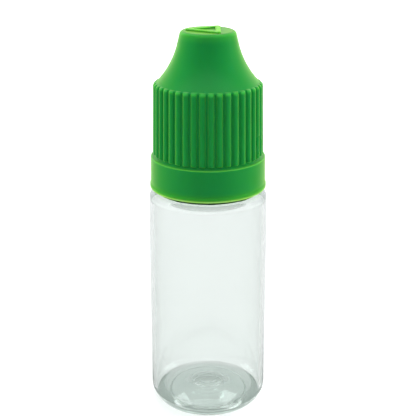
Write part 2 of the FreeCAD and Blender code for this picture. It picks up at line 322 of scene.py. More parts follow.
# %% The thread rule: the ridge
edge = write.math("MULTIPLY", given["Crest"], 0.5)
foot = write.math("ADD", edge, given["Flank"])
ridge = write.eased(write.math("ABSOLUTE", off), edge, foot, given["Height"], 0.0)
begins = write.eased(core, given["Low"], write.math("ADD", given["Low"], given["Ease"]))
last_full = write.math("SUBTRACT", given["High"], given["Ease"])
ends = write.eased(core, last_full, given["High"], 1.0, 0.0)
flat = write.add("ShaderNodeCombineXYZ", {"X": place["X"], "Y": place["Y"]})[0]
radius = write.add("ShaderNodeVectorMath", {0: flat}, operation="LENGTH")["Value"]
on_wall = write.math("COMPARE", radius, given["Wall radius"], ON_WALL * MM)
out = write.add("ShaderNodeVectorMath", {0: flat}, operation="NORMALIZE")[0]
lifted = write.product(ridge, begins, ends)
push = write.add("ShaderNodeVectorMath", {0: out, "Scale": lifted}, operation="SCALE")[0]
moved = write.add("GeometryNodeSetPosition", {
    "Geometry": given["Geometry"], "Selection": on_wall, "Offset": push,
})[0]
real = write.add("GeometryNodeRealizeInstances", {"Geometry": moved})[0]
done = write.add("GeometryNodeSetMaterial", {"Geometry": real, "Material": given["Finish"]})[0]
write.add("NodeGroupOutput", {"Geometry": done})
print("the thread rule has", len(thread_rule.nodes), "nodes")

# %% [markdown]
# ## Green polypropylene
#
# The closure is moulded in green polypropylene. Some of the light goes a little way in
# before it comes out again, which is subsurface scattering. The surface is that of the
# mould: nearly smooth, with a very fine grain, a slow unevenness where the plastic shrank,
# and a soft sheen where it is seen at a slant.
#
# The green isn't the same all over, because light and shade are painted into it. Painted
# highlight and the glow of light shining through thin plastic make it paler or warmer: low on
# the band, on the lip, along the band's top edge, on the tops of the ribs, round the rim of
# the top, and on the triangle. The flat top has painted shade, a little deeper, and the
# tamper ring's edge, under the lip, has much darker painted shade. A painted map could say
# so, but it would need the mesh unwrapped. Masks made of the height and the distance from
# the axis need nothing, and stay where they are however fine the mesh is.

# %% Colours and finishes
def linear(red, green, blue):
    """A colour as it is seen on a screen, 0 to 255, as the light that a shader wants."""
    light = []
    for c in (red, green, blue):
        light.append(c / 255 / 12.92 if c <= 10 else ((c / 255 + 0.055) / 1.055) ** 2.4)
    return (*light, 1)


def finish(name):
    """A new material, its writer, its main shader's inputs and its object coordinates."""
    material = bpy.data.materials.new(name)
    material.use_nodes = True
    write = Tree(material.node_tree)
    shader = material.node_tree.nodes["Principled BSDF"]
    return material, write, shader.inputs, write.add("ShaderNodeTexCoord")["Object"]


print("a screen grey of 128 is light of", round(linear(128, 128, 128)[0], 3))

# %% The green's tints and painted light
green_plastic, write, shader, where = finish("green_polypropylene")
flow = write.add("ShaderNodeTexNoise", {"Vector": where, "Scale": 140.0, "Detail": 3.0})[0]
tint = write.mix(flow, linear(12, 149, 69), linear(17, 154, 67))
height = write.math("DIVIDE", write.add("ShaderNodeSeparateXYZ", {0: where})["Z"], MM)
across = write.math("DIVIDE", write.from_axis(where), MM)

# Each place has a painted colour, the share of it that the green takes on, and its bands:
# what is measured, in millimetres, where the colour is full, and where it has ended. The
# colours are painted highlight and glow, and on the flat top painted shade.
# Painted light: highlights and glow on the band, lip, rib tops, rim and triangle; painted shade on the
# flat top.
painted_light_spots = {
    "low on the band": (linear(70, 178, 40), 0.7, [(across, 9.9, 9.6), (height, 42.1, 43.6)]),
    "lip": (linear(165, 235, 115), 1.0, [(across, 9.9, 9.6), (height, 42.05, 42.4)]),
    "band's top edge": (linear(80, 188, 78), 1.0, [
        (across, 9.9, 9.75), (height, 47.42, 47.3), (height, 47.5, 47.6),
    ]),
    "tops of the ribs": (linear(48, 176, 74), 1.0, [(across, 9.15, 9.05), (height, 60.2, 59.7)]),
    "flat top": (linear(5, 130, 60), 0.8, [(height, 69.28, 69.1), (height, 69.32, 69.34)]),
    "rim of the top": (linear(52, 176, 64), 0.75, [(height, 69.1, 67.6), (height, 69.16, 69.24)]),
    "triangle": (linear(105, 208, 70), 0.8, [(height, 69.42, 69.32)]),
}
for colour, most, bands in painted_light_spots.values():
    shares = [write.eased(measure, full, ended, 1.0, 0.0) for measure, full, ended in bands]
    tint = write.mix(write.product(*shares, most), tint, colour)
# Painted shade: the tamper ring's edge, deep under the lip, is painted a dark green.
ring_painted_shade = write.product(
    write.eased(across, 9.12, 9.05, 1.0, 0.0), write.math("LESS_THAN", across, 9.5),
    write.eased(height, 42.0, 42.1, 1.0, 0.0),
)
write.link(write.mix(ring_painted_shade, tint, linear(8, 62, 24)), shader["Base Color"])
print("the green has its own tint at:", ", ".join(painted_light_spots), "and the tamper ring's edge")

# %% The green's surface
grain = write.add("ShaderNodeTexNoise", {"Vector": where, "Scale": 5200.0, "Detail": 2.0})[0]
rough = write.add("ShaderNodeMapRange", {
    "Value": flow, "From Min": 0.3, "From Max": 0.7, "To Min": 0.27, "To Max": 0.31,
})[0]
write.link(rough, shader["Roughness"])
slow = write.add("ShaderNodeBump", {"Height": flow, "Distance": 0.008 * MM, "Strength": 0.5})[0]
fine = write.add("ShaderNodeBump", {
    "Height": grain, "Distance": 0.003 * MM, "Strength": 0.5, "Normal": slow,
})[0]
write.link(fine, shader["Normal"])
shader["Subsurface Weight"].default_value = 0.6
shader["Subsurface Radius"].default_value = (1.0, 0.8, 0.2)
shader["Subsurface Scale"].default_value = 1.2 * MM
shader["IOR"].default_value = 1.49
shader["Specular IOR Level"].default_value = 0.3
shader["Sheen Weight"].default_value = 0.82
shader["Sheen Roughness"].default_value = 0.45
shader["Sheen Tint"].default_value = (0.38, 0.86, 0.0, 1)
print("the green has", len(green_plastic.node_tree.nodes), "nodes")

# %% [markdown]
# ## Clear PET
#
# The bottle is clear PET. It is glass to a renderer: it bends what is behind it by an
# index of 1.57, and where light goes a long way through it, as at the heel, it turns a
# little green-grey. A very faint, slow bump stands for the unevenness of a blown wall.
#
# Plain glass leaves two things wrong. It would cast a shadow like a solid, so shadow rays
# pass through it here, and the lamps light what is inside. And light that is caught in
# thick plastic, thrown from wall to wall, would come out nearly black. In the real bottle
# it comes out pale, so a ray that has been mirrored often enough ends in a pale glow: on
# its second bounce in the body, and on its first in the shoulder and the neck.

# %% The clear finish
SECOND_BOUNCE_Z, FIRST_BOUNCE_Z = 39.0, 39.8
clear_plastic, write, shader, where = finish("clear_pet")
sway = write.add("ShaderNodeTexNoise", {"Vector": where, "Scale": 70.0, "Detail": 1.0})[0]
wave = write.add("ShaderNodeBump", {"Height": sway, "Distance": 0.05 * MM, "Strength": 0.3})[0]
write.link(wave, shader["Normal"])
shader["Base Color"].default_value = linear(243, 246, 245)
shader["Roughness"].default_value = 0.02
shader["IOR"].default_value = 1.57
shader["Transmission Weight"].default_value = 1.0
glass = write.tree.nodes["Principled BSDF"].outputs[0]
output = write.tree.nodes["Material Output"].inputs

path = write.add("ShaderNodeLightPath")
up = write.add("ShaderNodeSeparateXYZ", {0: where})["Z"]
bounces = write.add("ShaderNodeMapRange", {
    "Value": up, "From Min": SECOND_BOUNCE_Z * MM, "From Max": FIRST_BOUNCE_Z * MM,
    "To Min": 1.5, "To Max": 0.5,
})[0]
trapped = write.math("GREATER_THAN", path["Glossy Depth"], bounces)
pale = write.add("ShaderNodeEmission", {"Color": (0.74, 0.80, 0.77, 1), "Strength": 0.9})[0]
bounced = write.add("ShaderNodeMixShader", {0: trapped, 1: glass, 2: pale})[0]
open_way = write.add("ShaderNodeBsdfTransparent", {"Color": linear(245, 248, 247)})[0]
mixed = write.add("ShaderNodeMixShader", {0: path["Is Shadow Ray"], 1: bounced, 2: open_way})[0]
write.link(mixed, output["Surface"])
depth = write.add("ShaderNodeVolumeAbsorption", {"Color": linear(198, 212, 205), "Density": 85.0})[0]
write.link(depth, output["Volume"])
print("the clear finish has", len(clear_plastic.node_tree.nodes), "nodes")

# %% [markdown]
# ## Natural polyethylene
#
# The dropper tip is soft polyethylene with no colour in it: milky, waxy, and hardly
# shiny, so most of what is seen is light that has wandered about inside.

# %% The milky finish
milky_plastic, write, shader, where = finish("natural_polyethylene")
cloud = write.add("ShaderNodeTexNoise", {"Vector": where, "Scale": 900.0, "Detail": 3.0})[0]
write.link(write.mix(cloud, linear(226, 229, 224), linear(236, 238, 233)), shader["Base Color"])
rough = write.add("ShaderNodeMapRange", {"Value": cloud, "To Min": 0.4, "To Max": 0.55})[0]
write.link(rough, shader["Roughness"])
skin = write.add("ShaderNodeBump", {"Height": cloud, "Distance": 0.01 * MM, "Strength": 0.4})[0]
write.link(skin, shader["Normal"])
shader["Subsurface Weight"].default_value = 0.6
shader["Subsurface Radius"].default_value = (1.0, 1.0, 0.9)
shader["Subsurface Scale"].default_value = 1.2 * MM
print("finishes:", ", ".join(m.name for m in (green_plastic, clear_plastic, milky_plastic)))

# %% [markdown]
# ## The bottle
#
# The bottle is one closed skin: out from the middle of the domed foot, up the outside,
# over the neck's rim, down the inside and back to the middle of the floor. A clear thing
# needs both its walls, because each bends the light. A Solidify modifier could give the
# second one, but evenly thick, and the real floor is much thicker than the wall.
#
# The foot and the floor carry what the mould and the gate left: two faint rings, some
# ripples, and a fine groove round the foot, where the mould's two parts met.

# %% The bottle's measures
BODY_R, WALL_R, NECK_R, BORE_R, BEAD_R = 10.49, 9.7, 6.0, 4.6, 7.2
TAPER_Z, SHOULDER_Z, BEAD_Z, NECK_Z = 35.6, 41.1, 46.2, 56.0
TAPER, TAPER_ROUND, SHOULDER_WALL = 0.16, 20, 0.8
FOOT_R, HEEL, DOME_H = 6.1, 3.6, 0.9
FLOOR_R, FLOOR_Z, CROWN = 9.2, 2.0, 1.6

# A round mark is (the radius at its middle, its width, its height).
GROOVE = (6.68, 0.11, 0.14)
WIDE_RING, GATE_RING = (2.87, 0.16, 0.06), (1.77, 0.14, 0.03)
RIPPLE_H, RIPPLE_RATE, RIPPLE_END = 0.002, 7, 5.6
UNDER_SHARE = 0.35  # how much of the floor's rings and ripples the foot has too
print("the wall is", round(BODY_R - WALL_R, 2), "mm thick, and the floor",
      round(FLOOR_Z + CROWN - DOME_H, 2), "mm in its middle")


# %% Forms of the foot and the floor
def dome(rim_r, height, r):
    """How far a shallow dome stands over its rim at radius r."""
    ball = (rim_r ** 2 + height ** 2) / (2 * height)
    return height - ball + math.sqrt(ball ** 2 - r ** 2)


def push_up(r):
    """The foot's underside rises to the middle in a smooth bell."""
    return DOME_H * (0.5 + 0.5 * math.cos(math.pi * min(r / (FOOT_R + 0.6), 1)))


def swell(r, middle, width, height):
    """How high a round mark is at radius r."""
    return height * math.exp(-((r - middle) / width) ** 2)


def ripple(r):
    """The rings and ripples at radius r."""
    waves = RIPPLE_H * math.sin(r * RIPPLE_RATE) * min(1, max(0, RIPPLE_END - r))
    return swell(r, *WIDE_RING) + swell(r, *GATE_RING) + waves


under = []
for r in ladder(0, BODY_R - HEEL - 0.02, 0.06):
    marks = UNDER_SHARE * ripple(r) * (r < FOOT_R)
    under.append(Vector((r, push_up(r) - marks + swell(r, *GROOVE))))
floor_line = []
for r in reversed(ladder(0, FLOOR_R, 0.1)):
    floor_line.append(Vector((r, FLOOR_Z + dome(FLOOR_R, CROWN, r) + ripple(r))))
print("the foot's line has", len(under), "points, and the floor's has", len(floor_line))

# %% The bottle's outline
# The first corner is only there to leave the heel's arc room, and isn't used itself.
outside = rounded([
    (BODY_R - 2.1 * HEEL, 0), (BODY_R, 0, HEEL), (BODY_R, TAPER_Z, TAPER_ROUND),
    (BODY_R - TAPER, SHOULDER_Z, 1.05), (NECK_R, SHOULDER_Z, 0.8),
    (NECK_R, BEAD_Z, 0.1), (BEAD_R, BEAD_Z, 0.15), (BEAD_R, BEAD_Z + 0.5, 0.2), (NECK_R, BEAD_Z + 1.0),
], steps=8)
thread_wall = [Vector((NECK_R, z)) for z in ladder(BEAD_Z + 1.1, NECK_Z - 0.3, 0.11)]
inside = rounded([
    (NECK_R, NECK_Z - 0.25), (NECK_R, NECK_Z, 0.15), (BORE_R, NECK_Z, 0.1),
    (BORE_R, SHOULDER_Z - SHOULDER_WALL, 0.8), (WALL_R - TAPER, SHOULDER_Z - SHOULDER_WALL, 0.7),
    (WALL_R, TAPER_Z, TAPER_ROUND), (WALL_R, FLOOR_Z, 0.3), (FLOOR_R, FLOOR_Z),
], steps=8)
bottle_line = under + outside[1:] + thread_wall + inside + floor_line[1:]
bottle = turned("bottle_skin", bottle_line, FACETS["bottle"])
follow(bottle, thread_rule, Wall_radius=NECK_R * MM, Lead=LEAD * MM, Height=0.8 * MM, Crest=0.35 * MM,
       Flank=0.55 * MM, Low=48.3 * MM, High=54.4 * MM, Ease=0.5 * MM, Phase=0.0, Finish=clear_plastic)
print("the bottle has", len(bottle.data.polygons), "faces")

# %% [markdown]
# ## The dropper tip
#
# Turned as well: a plug with two seal beads, a flange that rests on the neck's rim, and
# the nozzle with its fine bore, all one closed line round the wall of the tip.

# %% The dropper tip
tip_line = rounded([
    (3.3, 50.0, 0.1), (4.35, 50.0, 0.1), (4.5, 50.4),                        # end of the plug
    (4.5, 50.8), (4.65, 51.2, 0.3), (4.5, 51.6),                             # lower seal bead
    (4.5, 54.4), (4.65, 54.8, 0.3), (4.5, 55.2),                             # upper seal bead
    (4.5, 56.0), (5.8, 56.0, 0.12), (5.8, 56.8, 0.25), (3.4, 56.8, 0.6),     # flange
    (1.6, 65.5, 0.5), (0.65, 65.5, 0.06), (0.45, 65.1, 0.05), (0.45, 63.1),  # nozzle and bore
    (2.5, 56.8), (3.3, 55.2),                                                # inside
], closed=True)
tip = turned("dropper_tip_skin", tip_line, FACETS["dropper tip"], closed=True)
tip.data.materials.append(milky_plastic)
print("the dropper tip has", len(tip.data.polygons), "faces")

# %% [markdown]
# ## The tamper ring
#
# A ring with a flange at its foot. Ten fins slope inwards and catch under the neck's bead,
# so it can't follow the cap, and eight thin bridges hold it to the inner cap until the
# bottle is first opened. Ten flat tabs on the flange are all that shows under the lip.
#
# The ring itself is turned. A fin, a bridge or a tab is a short arch, made once, and the
# ring rule sets it out.

# %% Arches, copies, and one object out of many
SEAM = 0.001  # copies whose points are this near each other are joined


def arch(name, line, sides, turn):
    """A closed outline turned through part of a turn about the +X axis, with flat ends."""
    points, faces, count = [], [], len(line)
    for k in range(sides + 1):
        angle = turn * (k / sides - 0.5)
        points += [(r * math.cos(angle), r * math.sin(angle), z) for r, z in line]
    for k in range(sides):
        for i in range(count):
            n = (i + 1) % count
            faces.append([k * count + i, k * count + n, (k + 1) * count + n, (k + 1) * count + i])
    faces += [list(range(count)), list(range(sides * count, (sides + 1) * count))]
    return new_piece(name, points, faces)


def round_copies(piece, count, first=0.0):
    """Sets a piece out round the axis by the ring rule, in green."""
    return follow(piece, ring_rule, Count=count, First_angle=first, Seam=SEAM * MM, Finish=green_plastic)


def join(name, pieces):
    """One green object, with one name, out of several."""
    work = bmesh.new()
    for piece in pieces:
        work.from_mesh(piece.data)
    mesh = bpy.data.meshes.new(name)
    work.to_mesh(mesh)
    work.free()
    for piece in pieces:
        bpy.data.objects.remove(piece)
    mesh.materials.append(green_plastic)
    whole = bpy.data.objects.new(name, mesh)
    bpy.context.scene.collection.objects.link(whole)
    return whole


print("copies are joined where they come within", SEAM, "mm")

# %% The tamper ring
FIN_COUNT, FIN_TURN = 10, math.radians(25.2)
BRIDGE_COUNT, BRIDGE_TURN = 8, math.radians(5)
TAB_COUNT, TAB_TURN, FIRST_TAB = 10, math.radians(8.2), math.radians(-85.9)
hoop = turned("hoop", rounded([
    (7.45, 41.35, 0.08), (9.25, 41.35, 0.1), (9.25, 41.95, 0.12), (8.2, 41.95, 0.1),
    (8.2, 45.6, 0.1), (7.45, 45.6, 0.1),
], closed=True, steps=3), FACETS["tamper ring"], closed=True)
fins = round_copies(arch("fins", rounded([
    (7.6, 43.7), (7.6, 44.15), (6.75, 45.9, 0.05), (6.3, 45.9, 0.08),
], closed=True, steps=2), 8, FIN_TURN), FIN_COUNT)
bridges = round_copies(arch("bridges", rounded([
    (7.55, 45.5), (7.85, 45.5), (7.85, 46.0), (7.55, 46.0),
]), 2, BRIDGE_TURN), BRIDGE_COUNT)
tabs = round_copies(arch("tabs", rounded([
    (9.1, 41.38, 0.02), (9.4, 41.38, 0.06), (9.4, 41.9, 0.06), (9.1, 41.9, 0.02),
], closed=True, steps=2), 6, TAB_TURN), TAB_COUNT, FIRST_TAB)
ring = join("tamper_ring_skin", [hoop, fins, bridges, tabs])
print("the tamper ring has", len(ring.data.polygons), "faces")

# %% [markdown]
# ## The inner cap
#
# Never seen while the bottle is closed: a screw cap with a nose that seals the nozzle, a
# catch flange at its foot that keeps the outer cap on, and twelve teeth on its plate that
# slope on one side. Its thread runs in the gaps of the neck's thread, half a lead away.

# %% The inner cap's wall and thread
NUT_R = 7.0
wall_and_nose = rounded([
    (7.4, 46.0, 0.06), (8.0, 46.0, 0.08),                                      # foot
    (8.0, 46.3, 0.05), (8.8, 46.3, 0.1), (8.8, 47.0, 0.12), (8.0, 47.6, 0.2),  # catch flange
    (8.0, 58.0, 0.3), (4.5, 58.0, 0.5), (2.7, 67.1, 0.5), (0, 67.1),           # plate and nose
])
seal_and_plate = rounded([
    (0, 64.8), (0.35, 64.8, 0.1), (0.35, 66.2, 0.15), (1.9, 66.2, 0.3),        # sealing pin
    (3.7, 57.0, 0.3), (NUT_R, 57.0, 0.2), (NUT_R, 56.2),                       # under the plate
])
nut_wall = [Vector((NUT_R, z)) for z in reversed(ladder(47.6, 56.1, 0.13))]
mouth = rounded([(NUT_R, 47.55), (NUT_R, 47.5), (7.4, 47.2), (7.4, 46.1)])
cap_body = turned("cap_body", wall_and_nose + seal_and_plate + nut_wall + mouth,
                  FACETS["inner cap"], closed=True)
follow(cap_body, thread_rule, Wall_radius=NUT_R * MM, Lead=LEAD * MM, Height=-0.75 * MM, Crest=0.3 * MM,
       Flank=0.5 * MM, Low=48.2 * MM, High=55.4 * MM, Ease=0.5 * MM, Phase=0.5, Finish=green_plastic)
print("the inner cap's body has", len(cap_body.data.polygons), "faces")

# %% The inner cap's teeth
TOOTH_COUNT = 12


def tooth(name, across, near_r, far_r, near_top=None, far_top=None):
    """A drive tooth along +X. across is its outline as (along the turn, height). near_top
    and far_top, where they are given, are the heights of its top at its two ends."""
    count = len(across)
    top = max(z for _, z in across)
    points = [(near_r, y, near_top if near_top and z == top else z) for y, z in across]
    points += [(far_r, y, far_top if far_top and z == top else z) for y, z in across]
    faces = [[i, (i + 1) % count, count + (i + 1) % count, count + i] for i in range(count)]
    faces += [list(range(count)), list(range(count, 2 * count))]
    piece = new_piece(name, points, faces)
    piece.data.shade_flat()
    return piece


inner_teeth = round_copies(tooth("teeth", [
    (-0.8, 57.8), (-0.8, 58.0), (0.2, 58.8), (0.8, 58.8), (0.8, 57.8),
], near_r=6.3, far_r=7.7), TOOTH_COUNT)
inner_cap = join("inner_cap_skin", [cap_body, inner_teeth])
print("the inner cap has", len(inner_cap.data.polygons), "faces")

# %% [markdown]
# ## The outer cap
#
# Forty ribs go round the shell, so it is made as one fortieth, 9 degrees wide, and set
# out by the ring rule. Ribs stood on a finished shell would be simpler, but their feet
# would cut into it instead of running out in a curve. Down the strip runs the shell's
# whole outline: top, nose, flare, rib, ledge, band and lip, and back up the inside. Across
# the strip the columns are crowded where the rib's flanks are. A rib is a share of lift
# over the groove's floor: full at the rib's back, none in the groove.

# %% The outer cap's measures
TOP_Z, NOSE_R, NOSE_ROUND = 69.3, 4.7, 0.73
NOSE_DRAFT, NOSE_LENGTH = math.radians(13.2), 2.1
NOSE_FOOT_R, NOSE_FOOT_Z = 5.193, 67.2
FLARE_FOOT_R, FLARE_FOOT_Z = 8.985, 60.3
CAP_WALL, HOLLOW_R = 1.0, 8.2
LEDGE_Z, BAND_Z, COVE_FOOT_R = 48.05, 47.5, 9.75
GROOVE_FOOT_R, GROOVE_DRAFT = 9.215, 0.23
RIB_COUNT, FIRST_RIB = 40, math.radians(3.1)
PITCH = math.tau / RIB_COUNT
RIB_H, RIB_TOP_Z, RIB_TOP_ROUND, RIB_TOP_H = 0.42, 60.5, 0.7, 0.47
RIB_FOOT_Z, RIB_FOOT_ROUND, RIB_FOOT_R, FOOT_ROUND_R = 48.3, 0.35, 9.635, 9.335
print("a rib and its groove take", round(GROOVE_FOOT_R * PITCH, 2), "mm of the way round")


# %% The flare, the grooves and the ribs
def flare(offset, start_r, steps):
    """The nose's concave side from its narrow end down to start_r, set in by offset."""
    out_r, out_z = math.cos(NOSE_DRAFT), math.sin(NOSE_DRAFT)
    tangent = Vector((NOSE_R + NOSE_LENGTH * math.tan(NOSE_DRAFT), NOSE_FOOT_Z))
    gap = Vector((FLARE_FOOT_R, FLARE_FOOT_Z)) - tangent
    ball = gap.length_squared / (2 * (gap.x * out_r + gap.y * out_z))
    middle = tangent + Vector((out_r, out_z)) * ball
    side = ball + offset
    low = math.tau - math.acos((start_r - middle.x) / side)
    high = math.pi + NOSE_DRAFT
    angles = [high + (low - high) * k / steps for k in range(steps + 1)]
    return [middle + Vector((math.cos(a), math.sin(a))) * side for a in angles]


def groove_r(z):
    """The grooves' floor narrows upwards by its draft, and runs out into the ledge's cove."""
    if z < LEDGE_Z:
        down = (LEDGE_Z - z) / (LEDGE_Z - BAND_Z)
        return COVE_FOOT_R - math.sqrt((COVE_FOOT_R - GROOVE_FOOT_R) ** 2 * (1 - down ** 2))
    return GROOVE_FOOT_R - GROOVE_DRAFT * (z - LEDGE_Z) / (FLARE_FOOT_Z - LEDGE_Z)


def lift(z, r):
    """How far a rib's back stands over the shell's radius r at height z."""
    if z < RIB_FOOT_Z - RIB_FOOT_ROUND or z > RIB_TOP_Z:
        return 0
    if z < RIB_FOOT_Z:
        foot = FOOT_ROUND_R + math.sqrt(RIB_FOOT_ROUND ** 2 - (RIB_FOOT_Z - z) ** 2)
        return min(RIB_FOOT_R, foot) - r
    up = z - (RIB_TOP_Z - RIB_TOP_ROUND)
    if up > 0:
        top = groove_r(RIB_TOP_Z) + RIB_TOP_H - RIB_TOP_ROUND + math.sqrt(RIB_TOP_ROUND ** 2 - up ** 2)
        return max(0, top - r)
    return RIB_H


flared = flare(0, FLARE_FOOT_R, 40)


def shell_r(z):
    """The shell's radius between the ribs at height z: the flare's, and below it the grooves'."""
    if z <= FLARE_FOOT_Z:
        return groove_r(z)
    upper, lower = [pair for pair in zip(flared, flared[1:]) if pair[1].y <= z <= pair[0].y][0]
    share = (z - lower.y) / (upper.y - lower.y)
    return lower.x + (upper.x - lower.x) * share


print("halfway down the grooves a rib's back is",
      round(groove_r(54) + lift(54, groove_r(54)), 2), "mm from the axis")

# %% The strip's outline
nose = rounded([(0, TOP_Z), (NOSE_R, TOP_Z, NOSE_ROUND), (NOSE_FOOT_R, NOSE_FOOT_Z)], steps=8)
above = [p for p in flared if p.y > RIB_TOP_Z + 0.06]
top_heights = [RIB_TOP_Z - RIB_TOP_ROUND + RIB_TOP_ROUND * math.sin(math.radians(a))
               for a in (88, 80, 70, 60, 50, 40, 30, 20, 10, 0)]
foot_heights = [48.3, 48.2, 48.12, 48.08, 48.05, 48.02, 47.99, 47.97, 47.955, 47.945]
rib_heights = top_heights + list(reversed(ladder(48.5, 59.6, 1.0))) + foot_heights
rib_rows = [Vector((shell_r(z), z)) for z in rib_heights]
cove_heights = [LEDGE_Z - (LEDGE_Z - BAND_Z) * math.sin(math.radians(a)) for a in range(20, 90, 10)]
cove = [Vector((groove_r(z), z)) for z in cove_heights]
skirt = cove + rounded([
    (COVE_FOOT_R - 0.02, BAND_Z), (9.99, BAND_Z, 0.22), (10.06, 42.88, 0.1),           # ledge, band
    (10.2, 42.53, 0.08), (10.2, 41.93, 0.2), (9.65, 41.93, 0.08), (9.65, 42.35, 0.1),  # lip
    (9.0, 43.0, 0.1), (9.0, 44.6, 0.1),                                                # inside it
    (8.4, 45.025, 0.1), (8.4, 45.45, 0.08), (9.0, 45.45, 0.05),                        # catch bead
    (9.0, 47.1, 0.1), (HOLLOW_R, 47.7, 0.1), (HOLLOW_R, 54), (HOLLOW_R, 60),           # inside wall
], steps=4)
hollow = list(reversed(flare(CAP_WALL, HOLLOW_R, 10)))
hollow += rounded([(3.9, 68.0), (3.8, 68.3, 0.1), (0, 68.3)], steps=2)
ribbed = nose + above + rib_rows
strip_line = ribbed + skirt + hollow
print("the strip has", len(strip_line), "rows")

# %% The strip and the shell
# A column is (its way from the middle of the rib, in mm, and its share of the lift).
HALF_PITCH = 0.7225
half_columns = [
    (0, 1), (0.16, 0.94), (0.30, 0.78), (0.41, 0.59), (0.475, 0.44), (0.505, 0.25),
    (0.53, 0.05), (0.58, 0), (HALF_PITCH, 0),
]
columns = [(-u, share) for u, share in reversed(half_columns[1:])] + half_columns
points, rows, faces = [], [], []
for r, z in strip_line:
    if r == 0:
        rows.append([len(points)] * len(columns))
        points.append((0, 0, z))
        continue
    rib_lift = lift(z, r) if len(rows) < len(ribbed) + 3 else 0
    rows.append(list(range(len(points), len(points) + len(columns))))
    for u, share in columns:
        angle = u / HALF_PITCH * PITCH / 2
        reach = r + share * rib_lift
        points.append((reach * math.cos(angle), reach * math.sin(angle), z))
for a, b in zip(rows, rows[1:]):
    for k in range(len(columns) - 1):
        faces.append(patch(a[k], a[k + 1], b[k + 1], b[k]))
shell = round_copies(new_piece("shell", points, faces), RIB_COUNT, FIRST_RIB)
print("the shell has", len(shell.data.polygons), "faces")

# %% [markdown]
# ## Drive teeth and the raised triangle
#
# Twelve teeth hang under the flare, between those of the inner cap. On top stands a
# triangle of ridges that a finger can read. Its three corners are rounded, and each ridge
# has a round back. A curve with a bevel would give a ridge that is round all over, but
# this one has a flat foot in the top, so its loops are written out one inside the other.

# %% Teeth and triangle
MARK_REACH, MARK_ROUND = 4.3, 0.5
outer_teeth = round_copies(tooth("teeth", [
    (0.95, 58.0), (1.55, 58.0), (2.55, 58.8), (2.55, 62.0), (0.95, 62.0),
], near_r=6.3, far_r=8.3, near_top=62.3, far_top=59.85), TOOTH_COUNT)


def triangle(inset):
    """A triangle with rounded corners, set in by inset from the ridge's outer foot."""
    reach = MARK_REACH - 2 * inset
    angles = [math.pi + math.tau * i / 3 for i in range(3)]
    tips = [Vector((reach * math.cos(a), reach * math.sin(a))) for a in angles]
    line = []
    for i in range(3):
        line += bend(tips[i - 1], tips[i], tips[(i + 1) % 3], MARK_ROUND - 0.3 * inset, 6)
    return line


# The ridge's section, as (how far in, how high).
ridge_rows = [
    (0, 69.1), (0, 69.45), (0.04, 69.53), (0.12, 69.58), (0.25, 69.6),
    (0.65, 69.6), (0.78, 69.58), (0.86, 69.53), (0.9, 69.45), (0.9, 69.1),
]
points, faces = [], []
for inset, z in ridge_rows:
    loop = triangle(inset)
    points += [(p.x, p.y, z) for p in loop]
size = len(loop)
for k in range(len(ridge_rows)):
    n = (k + 1) % len(ridge_rows)
    for i in range(size):
        j = (i + 1) % size
        faces.append([k * size + i, k * size + j, n * size + j, n * size + i])
mark = new_piece("mark", points, faces)
outer_cap = join("outer_cap_skin", [shell, outer_teeth, mark])
print("the outer cap has", len(outer_cap.data.polygons), "faces")

# %% [markdown]
# ## Hand the pieces to the frame
#
# Each skin stands for one packed piece, and moves with its body.

# %% Replace, ride
for piece, node, body, slot in (
    (bottle, "bottle", "bottle", "clear_pet"),
    (tip, "dropper_tip", "bottle", "natural_ldpe"),
    (ring, "tamper_ring", "tamper_ring", "green_pp"),
    (inner_cap, "inner_cap", "inner_cap", "green_pp"),
    (outer_cap, "outer_cap", "outer_cap", "green_pp"),
):
    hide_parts(node)
    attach(piece, body)
    print(piece.name, "rides on", body)

# %% [markdown]
# ## A white floor in a white room
#
# The bottle is shown on white. More light would make the floor white, and would wash out
# the green too. So the lamps stay plain, and the floor gives off a little light of its
# own, which only the camera, reflections and the clear plastic see. It gives more far out,
# where the lamps hardly reach. The room is white to the camera and through the plastic,
# greyer in reflections, and dimmer still as a light.
#
# Seen through the plastic, the floor is a little darker under and round the foot. That is
# the shade of the bottle itself, which is missing because shadow rays pass through it. It
# is a matter of distance from the axis, so it is the same from every side.

# %% What a ray sees
scene = bpy.context.scene


def seen_directly(write, through=1.0, mirrored=1.0):
    """1 for rays from the camera, a share in reflections and through clear plastic, else 0."""
    path = write.add("ShaderNodeLightPath")
    unbent = write.math("SUBTRACT", 1.0, path["Is Transmission Ray"])
    mirror = write.product(path["Is Glossy Ray"], mirrored, unbent)
    bent = write.math("MULTIPLY", path["Is Transmission Ray"], through)
    return write.math("MAXIMUM", write.math("MAXIMUM", path["Is Camera Ray"], mirror), bent)


def stage_mesh(name, points, faces, material):
    """A mesh object that belongs to the room and not to the bottle."""
    mesh = bpy.data.meshes.new(name)
    mesh.from_pydata(points, [], faces)
    mesh.materials.append(material)
    thing = bpy.data.objects.new(name, mesh)
    scene.collection.objects.link(thing)
    return thing


# %% The floor
FLOOR_HALF, FLOOR_DROP = 3, -0.02 * MM
FOOT_SHADE_R, BODY_SHADE_R, SHADE_END_R = 7 * MM, 10.5 * MM, 16 * MM
LAMPS_NEAR, LAMPS_FAR = 0.1, 0.5
paper, write, shader, where = finish("pale_floor")
shader["Roughness"].default_value = 0.9
shader["Specular IOR Level"].default_value = 0.0
shader["Emission Color"].default_value = (1, 1, 1, 1)
distance = write.from_axis(where)
round_foot = write.eased(distance, FOOT_SHADE_R, BODY_SHADE_R, 0.64, 0.78)
far = write.eased(distance, LAMPS_NEAR, LAMPS_FAR, 0.26, 0.8)
write.link(write.math("MULTIPLY", seen_directly(write, round_foot), far), shader["Emission Strength"])
clear_of_foot = write.eased(distance, BODY_SHADE_R, SHADE_END_R)
not_through = write.math("SUBTRACT", 1.0, write.add("ShaderNodeLightPath")["Is Transmission Ray"])
dim = write.math("MAXIMUM", clear_of_foot, not_through)
